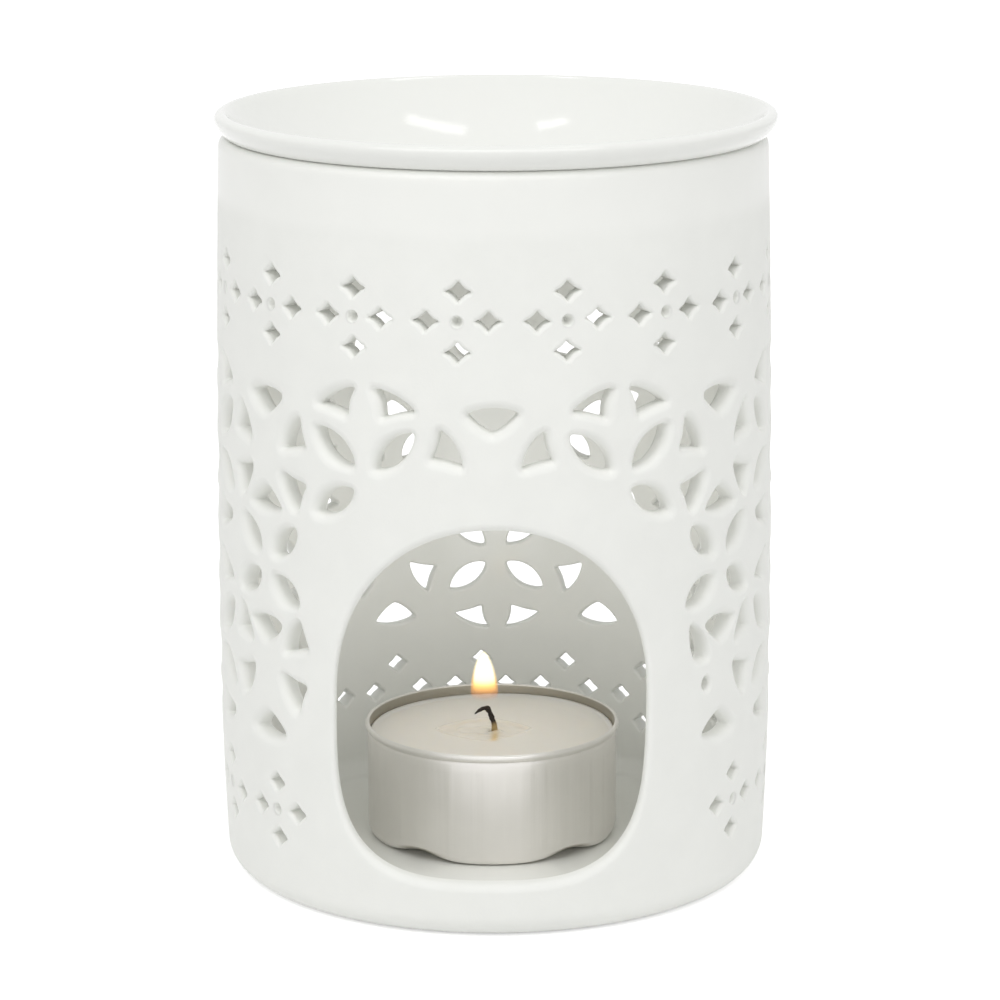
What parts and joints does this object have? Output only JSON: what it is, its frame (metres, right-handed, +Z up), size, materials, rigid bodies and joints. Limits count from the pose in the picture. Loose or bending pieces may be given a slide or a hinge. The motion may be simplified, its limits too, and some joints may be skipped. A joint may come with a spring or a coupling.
{
  "type": "oil burner",
  "caption": "Round ceramic oil burner: pierced body with an arched front opening, a loose shallow oil dish on its mouth, and a tealight standing on its floor.",
  "frame": {"origin": "centre of the base, on the surface it stands on", "axes": "+Z up; the arched opening faces -Y; +X to the right as seen from the front"},
  "size_m": [0.0828, 0.0825, 0.1134],
  "materials": {
    "bisque": "matte white outside, glossy glaze inside",
    "glaze": "glossy white glaze",
    "cup_metal": "satin, pressed thin sheet",
    "wax": "translucent wax, satin",
    "wick": "charred cotton",
    "tab_metal": "plain pressed sheet"
  },
  "bodies": {
    "body": {"pierced_body": "bisque"},
    "dish": {"oil_dish": "glaze"},
    "tealight": {"tealight_cup": "cup_metal", "tealight_wax": "wax", "tealight_wick": "wick", "wick_sustainer": "tab_metal"}
  },
  "joints": [
    {"name": "dish_lift", "type": "slide", "parent": "body", "child": "dish", "axis": [0, 0, 1], "range_m": [0, 0.06]},
    {"name": "tealight_draw", "type": "slide", "parent": "body", "child": "tealight", "axis": [0, -0.9205, 0.3907], "range_m": [0, 0.07]}
  ]
}
